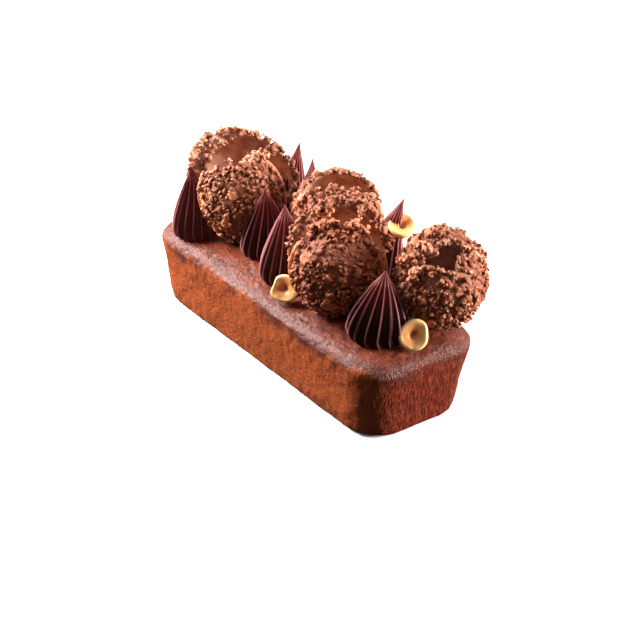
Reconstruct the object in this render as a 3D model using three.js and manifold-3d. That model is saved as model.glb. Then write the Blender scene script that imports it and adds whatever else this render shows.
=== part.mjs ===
// A praline loaf cake: a tall-sided loaf with rounded corners, and along its top four hollow balls of pressed
// crumble, each opened into a front and a back shell, seven fluted peaks of dark ganache and three hazelnut halves.
// Millimetres, +Z up. The origin is the middle of the flat underside, +X runs along the loaf and -Y is its front.
import * as THREE from 'three';
import { mergeVertices } from 'three/addons/utils/BufferGeometryUtils.js';
import Module from 'manifold-3d';

const wasm = await Module();
wasm.setup();

// ---- driving dimensions ----

// Air left between pieces that touch.
const GAP = 0.3;

// The loaf: half sizes and corner radius at the rim. The outline climbs in [inset from the rim, height] steps from
// the underside, up the mould's sloping side and over the crusted top.
const LOAF = {
  halfLength: 102,
  halfWidth: 37.8,
  cornerRadius: 21,
  cornerShrink: 0.3,
  outline: [
    [9, 0], [5.6, 1.4], [4.2, 6], [2.4, 20], [0, 37], [0.2, 39], [1.5, 41.5], [5, 44], [12, 46], [20, 47.2],
    [28, 48],
  ],
  crownHeight: 48.3,
  sideSwell: 0.4,
  topSwell: 0.6,
};

// The balls look towards this compass direction, in degrees from +X: their front shells bulge that way.
const BALL_FACING = -38;

// Each ball is two shells. radii are across, deep and tall. turn swings a shell's pole about the vertical, lean tips
// it upwards and roll leans the shell's top to the left as seen from its front, in degrees. rim is the angle from
// the pole to the shell's edge, and notches are the places where the edge is broken back: direction round the pole
// from the top, half width and depth, in degrees. jag is how unevenly it is broken.
const SHELLS = [
  {
    name: 'crumble_shell_1_front', centre: [-52.6, -6.6, 71.6], radii: [24.3, 23, 28], side: 1, roll: 18,
    turn: 4, lean: 4, rim: 88, jag: 5, wall: 4.2, notches: [[0, 44, 30]], seed: 11,
  },
  {
    name: 'crumble_shell_1_back', centre: [-64.3, 2, 77.6], radii: [32.6, 18, 26.1], side: -1, roll: -26,
    turn: 2, lean: -4, rim: 90, jag: 5, wall: 5.4, notches: [[8, 46, 9], [-50, 20, 6]], seed: 12,
  },
  {
    name: 'crumble_shell_2_front', centre: [-5.6, 22.8, 71.2], radii: [24.8, 24, 24.8], side: 1, roll: 0,
    turn: 0, lean: 0, rim: 86, jag: 5, wall: 4.2, notches: [[4, 46, 24]], seed: 21,
  },
  {
    name: 'crumble_shell_2_back', centre: [-8.2, 24.8, 71.6], radii: [24.8, 19, 24.6], side: -1, roll: 0,
    turn: 4, lean: 0, rim: 87, jag: 5, wall: 4.2, notches: [[0, 40, 4]], seed: 22,
  },
  {
    name: 'crumble_shell_3_front', centre: [41, -12.8, 69.8], radii: [25.2, 24, 25.4], side: 1, roll: 0,
    turn: -2, lean: 0, rim: 88, jag: 5, wall: 4.2, notches: [[-22, 20, 5], [20, 26, 8]], seed: 31,
  },
  {
    name: 'crumble_shell_3_back', centre: [31.6, -4.4, 74.6], radii: [27.8, 21, 28], side: -1, roll: 0,
    turn: 6, lean: 0, rim: 88, jag: 5, wall: 4.8, notches: [[-30, 24, 5], [30, 22, 7]], seed: 32,
  },
  {
    name: 'crumble_shell_4_front', centre: [82.9, 20.8, 70.2], radii: [23.4, 23.4, 23.4], side: 1, roll: 0,
    turn: 25, lean: -28, rim: 93, jag: 3, wall: 4.2, notches: [[-17, 18, 24]], seed: 41,
  },
  {
    name: 'crumble_shell_4_back', centre: [78.4, 23.1, 73.1], radii: [24.4, 24.4, 24.2], side: -1, roll: 0,
    turn: 25, lean: 28, rim: 94, jag: 3, wall: 4.2, notches: [[8, 30, 15]], seed: 42,
  },
];
const CRAG_DEPTH = 1.5;

// Fluted peaks, piped with a star nozzle: foot and tip centres, and the foot's radius.
const PEAKS = [
  { name: 'ganache_peak_1', foot: [-73, -23.8], tip: [-70.4, -28.2, 87], radius: 13.2, turn: 4 },
  { name: 'ganache_peak_2', foot: [-28.6, -7], tip: [-27.4, -9.5, 86], radius: 14.2, turn: 9 },
  { name: 'ganache_peak_3', foot: [-0.4, -14.6], tip: [-4.6, -13.2, 87], radius: 14.2, turn: 15 },
  { name: 'ganache_peak_4', foot: [74, -12.4], tip: [75.8, -11.4, 83], radius: 16.2, turn: 2 },
  { name: 'ganache_peak_5', foot: [-56, 29.5], tip: [-56.1, 34.6, 93], radius: 10.9, turn: 7 },
  { name: 'ganache_peak_6', foot: [-34.3, 26.5], tip: [-43.3, 34.2, 88.2], radius: 10.9, turn: 12 },
  { name: 'ganache_peak_7', foot: [29, 25.4], tip: [32.6, 36.2, 92.8], radius: 12.8, turn: 1 },
];
const FLUTES = 16;
const FLUTE_DEPTH = 0.17;
const PEAK_SINK = 1.5;
// [share of the height, share of the foot's radius]
const PEAK_OUTLINE = [[0, 0.84], [0.13, 1], [0.32, 0.86], [0.54, 0.6], [0.76, 0.31], [0.92, 0.1]];

// Hazelnut halves: centre of the cut face, the compass direction and height angle it looks to, and its radius.
const NUTS = [
  { name: 'hazelnut_half_1', centre: [20.6, -31.4, 54], facing: -58, raise: 22, radius: 7.5, seed: 3 },
  { name: 'hazelnut_half_2', centre: [94, -6.2, 54.2], facing: -42, raise: 30, radius: 7.6, seed: 5 },
  { name: 'hazelnut_half_3', centre: [38.4, 32.4, 82.4], facing: -34, raise: 68, radius: 7.5, seed: 8 },
];
// [share of the radius, height from the cut face], from the hollow in the middle round to the back
const NUT_OUTLINE = [[0.24, -1.5], [0.42, 0], [0.94, 0], [1, -1], [0.9, -3.6], [0.6, -5.9]];
const NUT_HOLLOW = -2.1;
const NUT_BACK = -6.9;
const NUT_SIDES = 14;

// ---- materials ----

const crust = new THREE.MeshStandardMaterial({ color: 0xa0603c, roughness: 0.8, metalness: 0 });
const crumble = new THREE.MeshStandardMaterial({ color: 0x8a5a3c, roughness: 0.9, metalness: 0 });
const ganache = new THREE.MeshStandardMaterial({ color: 0x2c1014, roughness: 0.4, metalness: 0 });
const nut = new THREE.MeshStandardMaterial({ color: 0xe6c078, roughness: 0.55, metalness: 0 });

// ---- helpers ----

const rad = THREE.MathUtils.degToRad;

// A repeatable stream of numbers from 0 to 1.
function dice(seed) {
  let state = seed * 2654435761;
  return () => {
    state = (state + 0x6d2b79f5) | 0;
    let mixed = Math.imul(state ^ (state >>> 15), 1 | state);
    mixed = (mixed + Math.imul(mixed ^ (mixed >>> 7), 61 | mixed)) ^ mixed;
    return ((mixed ^ (mixed >>> 14)) >>> 0) / 4294967296;
  };
}

// A closed skin from a first point, through rings of equally many points, to a last point. The rings turn
// anticlockwise as seen from the last point's side.
function skin(first, rings, last) {
  const sides = rings[0].length;
  const points = [first, ...rings.flat(), last];
  const index = [];
  const at = (ring, side) => 1 + ring * sides + (side % sides);
  for (let side = 0; side < sides; side += 1) {
    index.push(0, at(0, side + 1), at(0, side));
    for (let ring = 0; ring + 1 < rings.length; ring += 1) {
      index.push(at(ring, side), at(ring, side + 1), at(ring + 1, side + 1));
      index.push(at(ring, side), at(ring + 1, side + 1), at(ring + 1, side));
    }
    index.push(at(rings.length - 1, side), at(rings.length - 1, side + 1), points.length - 1);
  }
  const geometry = new THREE.BufferGeometry().setFromPoints(points);
  geometry.setIndex(index);
  return geometry;
}

function solidOf(geometry) {
  const plain = geometry.clone();
  plain.deleteAttribute('normal');
  plain.deleteAttribute('uv');
  const merged = mergeVertices(plain, 1e-4);
  return new wasm.Manifold(new wasm.Mesh({
    numProp: 3,
    vertProperties: new Float32Array(merged.attributes.position.array),
    triVerts: new Uint32Array(merged.index.array),
  }));
}

function geometryOf(solid) {
  const mesh = solid.getMesh();
  const geometry = new THREE.BufferGeometry();
  geometry.setAttribute('position', new THREE.BufferAttribute(new Float32Array(mesh.vertProperties), 3));
  geometry.setIndex(new THREE.BufferAttribute(new Uint32Array(mesh.triVerts), 1));
  geometry.computeVertexNormals();
  return geometry;
}

function piece(name, geometry, material) {
  const mesh = new THREE.Mesh(geometry, material);
  mesh.name = name;
  return mesh;
}

// ---- loaf ----

// A rounded rectangle with the same number of points at every size.
function roundedOutline(halfLength, halfWidth, radius) {
  const cornerSteps = 6;
  const sideSteps = [4, 12];
  const centres = [
    [halfLength - radius, halfWidth - radius], [radius - halfLength, halfWidth - radius],
    [radius - halfLength, radius - halfWidth], [halfLength - radius, radius - halfWidth],
  ];
  const points = [];
  centres.forEach(([x, y], corner) => {
    for (let step = 0; step <= cornerSteps; step += 1) {
      const angle = (Math.PI / 2) * (corner + step / cornerSteps);
      points.push(new THREE.Vector2(x + radius * Math.cos(angle), y + radius * Math.sin(angle)));
    }
    const [nextX, nextY] = centres[(corner + 1) % 4];
    const endAngle = (Math.PI / 2) * (corner + 1);
    const from = points[points.length - 1];
    const to = new THREE.Vector2(nextX + radius * Math.cos(endAngle), nextY + radius * Math.sin(endAngle));
    const steps = sideSteps[(corner + 1) % 2];
    for (let step = 1; step < steps; step += 1) {
      points.push(from.clone().lerp(to, step / steps));
    }
  });
  return points;
}

// Slow rise and fall of baked crust, from -1 to 1.
function swell(x, y, z) {
  return (Math.sin(x * 0.11 + 1.3) * Math.cos(y * 0.17 + 0.4) + Math.sin(x * 0.047 - y * 0.12 + z * 0.16)) / 2;
}

function loafGeometry() {
  const rimHeight = LOAF.outline[5][1];
  const rings = LOAF.outline.map(([inset, height]) => {
    const outline = roundedOutline(
      LOAF.halfLength - inset,
      LOAF.halfWidth - inset,
      Math.min(LOAF.cornerRadius - inset * LOAF.cornerShrink, LOAF.halfWidth - inset - 0.5),
    );
    return outline.map(({ x, y }) => {
      const bulge = height > 0 && height < rimHeight ? LOAF.sideSwell * (swell(x, y, height) - 1) : 0;
      const reach = 1 + bulge / Math.hypot(x, y);
      const lift = height > rimHeight ? LOAF.topSwell * swell(x, y, 0) : 0;
      return new THREE.Vector3(x * reach, y * reach, height + lift);
    });
  });
  const crown = new THREE.Vector3(0, 0, LOAF.crownHeight + LOAF.topSwell * swell(0, 0, 0));
  return skin(new THREE.Vector3(0, 0, 0), rings, crown);
}

// Height of the top crust at a place, without its swell.
function topHeight(x, y) {
  const inset = Math.min(LOAF.halfLength - Math.abs(x), LOAF.halfWidth - Math.abs(y));
  const steps = LOAF.outline.slice(5);
  for (let step = 0; step + 1 < steps.length; step += 1) {
    const [nearInset, nearHeight] = steps[step];
    const [farInset, farHeight] = steps[step + 1];
    if (inset <= farInset) {
      return THREE.MathUtils.mapLinear(inset, nearInset, farInset, nearHeight, farHeight);
    }
  }
  return LOAF.crownHeight;
}

// ---- crumble shells ----

// The pole, the top and the sideways direction of a shell.
function shellAxes({ side, turn, lean, roll }) {
  const heading = rad(BALL_FACING + turn + (side > 0 ? 0 : 180));
  const pole = new THREE.Vector3(
    Math.cos(heading) * Math.cos(rad(lean)),
    Math.sin(heading) * Math.cos(rad(lean)),
    Math.sin(rad(lean)),
  );
  const across = new THREE.Vector3(0, 0, 1).cross(pole).normalize();
  const rolled = new THREE.Quaternion().setFromAxisAngle(pole, side * rad(roll));
  const top = pole.clone().cross(across).applyQuaternion(rolled);
  return { pole, across: across.applyQuaternion(rolled), top };
}

// The angle from the pole to the shell's edge, in the direction roundAngle from the top, both in degrees.
function rimAngle({ rim, notches }, roundAngle) {
  return notches.reduce((angle, [middle, halfWidth, depth]) => {
    const away = Math.abs(THREE.MathUtils.euclideanModulo(roundAngle - middle + 180, 360) - 180) / halfWidth;
    return away < 1 ? angle - depth * (1 - away ** 2) : angle;
  }, rim);
}

function shellPoint(shell, axes, angle, round, inward) {
  const [across, deep, tall] = shell.radii;
  return new THREE.Vector3(...shell.centre)
    .addScaledVector(axes.pole, Math.cos(angle) * (deep - inward))
    .addScaledVector(axes.top, Math.sin(angle) * Math.cos(round) * (tall - inward))
    .addScaledVector(axes.across, Math.sin(angle) * Math.sin(round) * (across - inward));
}

// Outside in, the rings run from the outer pole to the broken edge and back inside to the inner pole.
function shellGeometry(shell) {
  const sides = 30;
  const outerRings = 9;
  const innerRings = 5;
  const draw = dice(shell.seed);
  const axes = shellAxes(shell);
  const edges = Array.from({ length: sides }, (_, side) => {
    const jag = (side % 2 ? 1 : -1) * shell.jag * draw();
    return rad(rimAngle(shell, (side * 360) / sides) + jag);
  });
  const ring = (share, inward) => edges.map((edge, side) => (
    shellPoint(shell, axes, edge * share, (side * 2 * Math.PI) / sides, inward())
  ));
  const rings = [];
  for (let step = 1; step <= outerRings; step += 1) {
    rings.push(ring(step / outerRings, () => CRAG_DEPTH * draw()));
  }
  for (let step = innerRings; step >= 1; step -= 1) {
    rings.push(ring(step / innerRings - (step === innerRings ? 0.02 : 0), () => shell.wall));
  }
  return skin(shellPoint(shell, axes, 0, 0, CRAG_DEPTH / 2), rings, shellPoint(shell, axes, 0, 0, shell.wall));
}

// The smooth dome that a shell was pressed in, grown by the gap and closed at the shell's edge.
function domeSolid(shell) {
  const sides = 24;
  const steps = 8;
  const axes = shellAxes(shell);
  const rings = [];
  for (let step = 1; step <= steps; step += 1) {
    rings.push(Array.from({ length: sides }, (_, side) => {
      const reach = rad(shell.rim + shell.jag) * (step / steps);
      return shellPoint(shell, axes, reach, (side * 2 * Math.PI) / sides, -GAP * 1.5);
    }));
  }
  const closing = new THREE.Vector3(...shell.centre).addScaledVector(axes.pole, -GAP);
  return solidOf(skin(shellPoint(shell, axes, 0, 0, -GAP * 1.5), rings, closing));
}

// ---- ganache peaks ----

function peakGeometry({ foot, tip, radius, turn }) {
  const [tipX, tipY, tipZ] = tip;
  const base = topHeight(...foot) - PEAK_SINK;
  const points = FLUTES * 2;
  const rings = PEAK_OUTLINE.map(([rise, spread]) => {
    const bend = rise ** 2.2;
    const x = THREE.MathUtils.lerp(foot[0], tipX, bend);
    const y = THREE.MathUtils.lerp(foot[1], tipY, bend);
    return Array.from({ length: points }, (_, side) => {
      const angle = (side * 2 * Math.PI) / points + rad(turn);
      const reach = radius * spread * (side % 2 ? 1 - FLUTE_DEPTH : 1);
      return new THREE.Vector3(
        x + reach * Math.cos(angle),
        y + reach * Math.sin(angle),
        base + rise * (tipZ - base),
      );
    });
  });
  return skin(new THREE.Vector3(foot[0], foot[1], base), rings, new THREE.Vector3(tipX, tipY, tipZ));
}

// ---- hazelnut halves ----

// A nut, or the room that it takes when grown by a margin.
function nutGeometry({ centre, facing, raise, radius, seed }, margin = 0) {
  const draw = dice(seed);
  const phase = draw() * 2 * Math.PI;
  const rings = NUT_OUTLINE.map(([share, height]) => (
    Array.from({ length: NUT_SIDES }, (_, side) => {
      const angle = (-side * 2 * Math.PI) / NUT_SIDES;
      const reach = (radius * share + margin) * (1 + 0.05 * Math.cos(2 * angle + phase) + 0.03 * Math.cos(3 * angle));
      const rise = height < 0 && share > 0.5 ? height - margin : height + margin;
      return new THREE.Vector3(reach * Math.cos(angle), reach * Math.sin(angle), rise);
    })
  ));
  const hollow = new THREE.Vector3(0, 0, NUT_HOLLOW + margin);
  const geometry = skin(hollow, rings, new THREE.Vector3(0, 0, NUT_BACK - margin));
  const look = new THREE.Vector3(
    Math.cos(rad(facing)) * Math.cos(rad(raise)),
    Math.sin(rad(facing)) * Math.cos(rad(raise)),
    Math.sin(rad(raise)),
  );
  geometry.applyQuaternion(new THREE.Quaternion().setFromUnitVectors(new THREE.Vector3(0, 0, 1), look));
  return geometry.translate(...centre);
}

// ---- assembly ----

const cake = new THREE.Group();

const loaf = loafGeometry();
cake.add(piece('loaf', loaf, crust));
const raisedLoaf = solidOf(loaf.clone().translate(0, 0, GAP));

for (const shell of SHELLS) {
  const body = solidOf(shellGeometry(shell)).subtract(raisedLoaf);
  cake.add(piece(shell.name, geometryOf(body), crumble));
}

const domes = SHELLS.map(domeSolid);
const cutBy = (body, cutters) => cutters.reduce((rest, cutter) => rest.subtract(cutter), body);
for (const half of NUTS) {
  cake.add(piece(half.name, geometryOf(cutBy(solidOf(nutGeometry(half)), [raisedLoaf, ...domes])), nut));
}

// The ganache was piped last of the large pieces: it gives way to the balls and to the nuts pressed into it.
const pressedNuts = NUTS.map((half) => solidOf(nutGeometry(half, GAP)));
for (const peak of PEAKS) {
  const body = cutBy(solidOf(peakGeometry(peak)), [raisedLoaf, ...domes, ...pressedNuts]);
  cake.add(piece(peak.name, geometryOf(body), ganache));
}

export default cake;
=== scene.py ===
# A praline loaf cake: a baked loaf topped with hollow balls of pressed crumble, piped peaks of dark ganache
# and halved hazelnuts. Metres, +Z up, +X along the loaf, -Y its front. Sizes are named in millimetres.
from math import cos, pi, radians, sin

import bpy
import numpy as np
from mathutils import Matrix, Vector


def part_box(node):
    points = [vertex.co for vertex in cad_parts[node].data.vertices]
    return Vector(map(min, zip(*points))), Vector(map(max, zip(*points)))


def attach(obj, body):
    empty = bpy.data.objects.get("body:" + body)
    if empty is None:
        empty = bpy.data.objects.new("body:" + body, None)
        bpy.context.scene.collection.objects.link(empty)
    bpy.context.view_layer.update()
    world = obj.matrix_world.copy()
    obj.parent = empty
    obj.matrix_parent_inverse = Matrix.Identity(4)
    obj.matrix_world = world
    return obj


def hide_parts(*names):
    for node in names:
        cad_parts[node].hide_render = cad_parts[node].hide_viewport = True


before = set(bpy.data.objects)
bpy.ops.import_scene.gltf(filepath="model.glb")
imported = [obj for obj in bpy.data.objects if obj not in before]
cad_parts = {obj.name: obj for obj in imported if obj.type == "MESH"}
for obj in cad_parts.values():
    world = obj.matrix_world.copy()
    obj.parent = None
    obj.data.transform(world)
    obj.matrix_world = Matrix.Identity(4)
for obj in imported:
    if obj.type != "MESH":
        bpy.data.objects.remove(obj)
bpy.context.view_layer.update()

# ---- Loaf ----
# A dense praline sponge baked in a tall tin with rounded corners. Its sides took the tin's fine grain, and
# its top rose into a thin pored crust. Everything else sits on that crust.
MM = 0.001
loaf_low, loaf_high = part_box("loaf")
LOAF_HALF_LENGTH = (loaf_high.x - loaf_low.x) / 2 / MM + 0.15
LOAF_HALF_WIDTH = (loaf_high.y - loaf_low.y) / 2 / MM
LOAF_CORNER = 21
LOAF_CORNER_SHRINK = 0.3
# [inset from the rim, height], up the side and over the crust
LOAF_OUTLINE = [
    [9, 0], [5.6, 1.4], [4.2, 6], [2.4, 20], [0, 37], [0.2, 39], [1.5, 41.5], [5, 44], [12, 46], [20, 47.2],
    [28, 48], [37.3, 48.3],
]
LOAF_RIM_STEP = 5
UNDERSIDE_INSETS = [36, 27, 19, 13, 11, 10]
LOAF_MESH_STEP = 0.85
LOAF_SIDES = 616
SIDE_SWELL = 0.4
TOP_SWELL = 0.6
SWELL_FADE = 3


def value_noise(points, size, seed):
    """Smooth random hills from -1 to 1, about size millimetres across, at an array of points."""
    cells = 32
    table = np.random.default_rng(seed).uniform(-1, 1, (cells,) * 3).astype(np.float32)
    place = points / size
    base = np.floor(place).astype(np.int32)
    part = (place - base).astype(np.float32)
    part = part * part * (3 - 2 * part)
    total = np.zeros(points.shape[:-1], np.float32)
    for corner in np.ndindex(2, 2, 2):
        index = (base + corner) % cells
        weight = np.prod(np.where(corner, part, 1 - part), axis=-1)
        total += weight * table[index[..., 0], index[..., 1], index[..., 2]]
    return total


def skin_mesh(name, vertices, *groups):
    """A smooth-shaded object from points in millimetres and groups of faces with equally many corners."""
    mesh = bpy.data.meshes.new(name)
    mesh.vertices.add(len(vertices))
    mesh.vertices.foreach_set("co", (vertices * MM).astype(np.float32).ravel())
    corners = np.concatenate([faces.ravel() for faces in groups]).astype(np.int32)
    mesh.loops.add(len(corners))
    mesh.loops.foreach_set("vertex_index", corners)
    counts = np.concatenate([np.full(len(faces), faces.shape[1]) for faces in groups])
    mesh.polygons.add(len(counts))
    mesh.polygons.foreach_set("loop_start", (np.cumsum(counts) - counts).astype(np.int32))
    mesh.polygons.foreach_set("use_smooth", np.full(len(counts), True))
    mesh.update(calc_edges=True)
    mesh.validate()
    made = bpy.data.objects.new(name, mesh)
    bpy.context.scene.collection.objects.link(made)
    return made


def paint(made, attribute, values):
    """Keeps one number for each point of a mesh, for its material to read."""
    layer = made.data.attributes.new(attribute, "FLOAT", "POINT")
    layer.data.foreach_set("value", np.asarray(values, np.float32))


def ring_faces(rings, sides):
    """Faces between closed rings of equally many points, each ring above the last."""
    ring, side = np.meshgrid(np.arange(rings - 1), np.arange(sides), indexing="ij")
    here = ring * sides + side
    beside = ring * sides + (side + 1) % sides
    return np.stack([here, beside, beside + sides, here + sides], axis=-1).reshape(-1, 4)


def smooth_path(knots, step):
    """Points every step along a smooth curve that keeps close to the knots."""
    knots = np.array(knots, float)
    padded = np.vstack([2 * knots[0] - knots[1], knots, 2 * knots[-1] - knots[-2]])
    tension = 0.5
    dense = []
    for before, start, end, after in zip(padded, padded[1:], padded[2:], padded[3:]):
        for t in np.linspace(0, 1, 40, endpoint=False):
            leave = (end - before) * tension
            arrive = (after - start) * tension
            dense.append((2 * t**3 - 3 * t**2 + 1) * start + (t**3 - 2 * t**2 + t) * leave
                         + (3 * t**2 - 2 * t**3) * end + (t**3 - t**2) * arrive)
    dense = np.array(dense + [knots[-1]])
    travelled = np.r_[0, np.cumsum(np.linalg.norm(np.diff(dense, axis=0), axis=1))]
    stops = np.linspace(0, travelled[-1], int(travelled[-1] / step) + 1)
    return np.stack([np.interp(stops, travelled, dense[:, axis]) for axis in range(2)], axis=1)


def rounded_outline(half_length, half_width, radius, count):
    """Points evenly spread round a rounded rectangle, from the middle of its +X end, anticlockwise."""
    straight_x = 2 * (half_length - radius)
    straight_y = 2 * (half_width - radius)
    arc = pi * radius / 2
    lengths = [straight_y / 2, arc, straight_x, arc, straight_y, arc, straight_x, arc, straight_y / 2]
    ends = np.cumsum(lengths)
    along = (np.arange(count) + 0.5) / count * ends[-1]
    leg = np.searchsorted(ends, along)
    done = along - np.r_[0, ends][leg]
    cx, cy = half_length - radius, half_width - radius
    turn = np.where(np.isin(leg, [1, 3, 5, 7]), done / radius, 0)
    legs = [leg == number for number in range(8)]
    x = np.select(legs, [
        half_length, cx + radius * np.cos(turn), cx - done, -cx - radius * np.sin(turn),
        -half_length, -cx - radius * np.cos(turn), -cx + done, cx + radius * np.sin(turn),
    ], half_length)
    y = np.select(legs, [
        done, cy + radius * np.sin(turn), half_width, cy + radius * np.cos(turn),
        cy - done, -cy - radius * np.sin(turn), -half_width, -cy - radius * np.cos(turn),
    ], -cy + done)
    return x, y


def swell(x, y, z):
    """Slow rise and fall of baked crust, from -1 to 1."""
    return (np.sin(x * 0.11 + 1.3) * np.cos(y * 0.17 + 0.4) + np.sin(x * 0.047 - y * 0.12 + z * 0.16)) / 2


def crust_height(x, y):
    """Height of the top crust at a place, without its swell."""
    inset = np.minimum(LOAF_HALF_LENGTH - np.abs(x), LOAF_HALF_WIDTH - np.abs(y))
    steps = np.array(LOAF_OUTLINE[LOAF_RIM_STEP:], float)
    return np.interp(inset, steps[:, 0], steps[:, 1])


def bake_loaf():
    underside = np.array([[inset, 0.0] for inset in UNDERSIDE_INSETS])
    path = np.vstack([underside, smooth_path(LOAF_OUTLINE, LOAF_MESH_STEP)])
    rings = []
    for inset, height in path:
        half_width = LOAF_HALF_WIDTH - inset
        radius = min(LOAF_CORNER - inset * LOAF_CORNER_SHRINK, half_width - 0.4)
        x, y = rounded_outline(LOAF_HALF_LENGTH - inset, half_width, radius, LOAF_SIDES)
        rings.append(np.stack([x, y, np.full(LOAF_SIDES, height)], axis=1))
    grid = np.array(rings)
    rim_height = LOAF_OUTLINE[LOAF_RIM_STEP][1]
    flat = np.hypot(grid[..., 0], grid[..., 1])
    x, y, z = grid[..., 0].copy(), grid[..., 1].copy(), grid[..., 2].copy()
    on_side = (z > 0) & (z < rim_height)
    bulge = np.where(on_side, SIDE_SWELL * (swell(x, y, z) - 1), 0) * np.clip(z / SWELL_FADE, 0, 1)
    grid[..., 0] *= 1 + bulge / flat
    grid[..., 1] *= 1 + bulge / flat
    past_rim = np.clip((z - rim_height) / SWELL_FADE, 0, 1)
    grid[..., 2] += np.where(z > rim_height, TOP_SWELL * swell(x, y, 0) * past_rim, 0)

    # how each point faces, from its neighbours in the ring and in the path
    round_way = np.roll(grid, -1, axis=1) - np.roll(grid, 1, axis=1)
    up_way = np.gradient(grid, axis=0)
    facing = np.cross(round_way, up_way)
    facing /= np.linalg.norm(facing, axis=-1, keepdims=True) + 1e-9
    on_top = np.clip(facing[..., 2] * 1.6, 0, 1)
    off_base = np.clip(grid[..., 2] / 2.5, 0, 1)

    # the crust's relief in millimetres, along the way that each point faces
    broad = value_noise(grid, size=11, seed=1) * 0.3
    lumps = value_noise(grid, size=4.2, seed=2) * 0.24
    grain = value_noise(grid, size=1.9, seed=3) * (0.12 + 0.14 * on_top)
    pores = -np.clip(value_noise(grid, size=2.6, seed=4) - 0.5, 0, 1) * 1.5 * on_top
    tin_grain = value_noise(grid * [1, 1, 0.25], size=2.1, seed=5) * 0.16 * (1 - on_top)
    lift = (broad + lumps + grain + pores + tin_grain - 0.1) * off_base
    grid += facing * lift[..., None]

    # the rings closed by two fans of triangles, in the middle of the underside and of the top
    count = len(path)
    vertices = np.vstack([grid.reshape(-1, 3), [[0, 0, 0]], [[0, 0, grid[-1, :, 2].mean()]]])
    foot_middle, top_middle = len(vertices) - 2, len(vertices) - 1
    last_ring = (count - 1) * LOAF_SIDES
    ring = np.arange(LOAF_SIDES)
    following = np.roll(ring, -1)
    lids = np.vstack([
        np.stack([np.full(LOAF_SIDES, foot_middle), following, ring], axis=1),
        np.stack([np.full(LOAF_SIDES, top_middle), ring + last_ring, following + last_ring], axis=1),
    ])
    made = skin_mesh("baked_loaf", vertices, ring_faces(count, LOAF_SIDES), lids)
    paint(made, "pore", np.r_[(grain + pores).ravel(), 0, 0])
    return made


RANGE_SOCKETS = ("From Min", "From Max", "To Min", "To Max")


class Finish:
    """A material being put together: nodes are added by kind and joined by their sockets."""

    def __init__(self, name):
        self.material = bpy.data.materials.new(name)
        self.material.use_nodes = True
        self.tree = self.material.node_tree
        self.shader = self.tree.nodes["Principled BSDF"]

    def node(self, kind, **settings):
        made = self.tree.nodes.new(kind)
        for key, value in settings.items():
            setattr(made, key, value)
        return made

    def feed(self, source, target):
        """Gives a socket a number, a colour or what another node puts out."""
        if isinstance(source, (int, float, tuple)):
            target.default_value = source
        else:
            self.tree.links.new(source, target)

    def surface(self, socket, source):
        self.feed(source, self.shader.inputs[socket])

    def place(self):
        return self.node("ShaderNodeTexCoord").outputs["Object"]

    def grain(self, size, detail=2, roughness=0.5, stretch=(1, 1, 1)):
        """Noise about size millimetres across."""
        mapping = self.node("ShaderNodeMapping")
        mapping.inputs["Scale"].default_value = [1 / (size * MM * way) for way in stretch]
        self.feed(self.place(), mapping.inputs["Vector"])
        noise = self.node("ShaderNodeTexNoise")
        noise.inputs["Scale"].default_value = 1
        noise.inputs["Detail"].default_value = detail
        noise.inputs["Roughness"].default_value = roughness
        self.feed(mapping.outputs[0], noise.inputs["Vector"])
        return noise.outputs["Fac"]

    def painted(self, attribute):
        """The numbers that paint() kept under this name."""
        return self.node("ShaderNodeAttribute", attribute_name=attribute).outputs["Fac"]

    def range(self, value, low, high, to_low=0.0, to_high=1.0, smooth=True):
        kind = "SMOOTHSTEP" if smooth else "LINEAR"
        made = self.node("ShaderNodeMapRange", interpolation_type=kind)
        self.feed(value, made.inputs["Value"])
        for socket, number in zip(RANGE_SOCKETS, (low, high, to_low, to_high)):
            made.inputs[socket].default_value = number
        return made.outputs["Result"]

    def sums(self, operation, first, second):
        made = self.node("ShaderNodeMath", operation=operation)
        self.feed(first, made.inputs[0])
        self.feed(second, made.inputs[1])
        return made.outputs[0]

    def blend(self, share, first, second, kind="MIX"):
        made = self.node("ShaderNodeMix", data_type="RGBA", blend_type=kind)
        self.feed(share, made.inputs["Factor"])
        self.feed(first, made.inputs["A"])
        self.feed(second, made.inputs["B"])
        return made.outputs["Result"]

    def bump(self, height, depth, strength=1.0, under=None):
        made = self.node("ShaderNodeBump")
        made.inputs["Strength"].default_value = strength
        made.inputs["Distance"].default_value = depth * MM
        self.feed(height, made.inputs["Height"])
        if under is not None:
            self.feed(under, made.inputs["Normal"])
        return made.outputs["Normal"]


# linear red, green and blue, as in all the colours of this file
SIDE_DARK = (0.21, 0.034, 0.0075, 1)
SIDE_LIGHT = (0.365, 0.083, 0.023, 1)
SIDE_PATCH = (0.30, 0.056, 0.0135, 1)
SHADED_END_GROOVE = (0.052, 0.0048, 0.0020, 1)
SHADED_END_RIB = (0.165, 0.022, 0.0072, 1)
TOP_DARK = (0.042, 0.0042, 0.0016, 1)
TOP_LIGHT = (0.120, 0.0195, 0.0074, 1)
TOASTED = (0.165, 0.027, 0.0075, 1)
PIT_SHADE = (0.085, 0.020, 0.010, 1)
PINHOLE = (0.10, 0.016, 0.006, 1)


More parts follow.
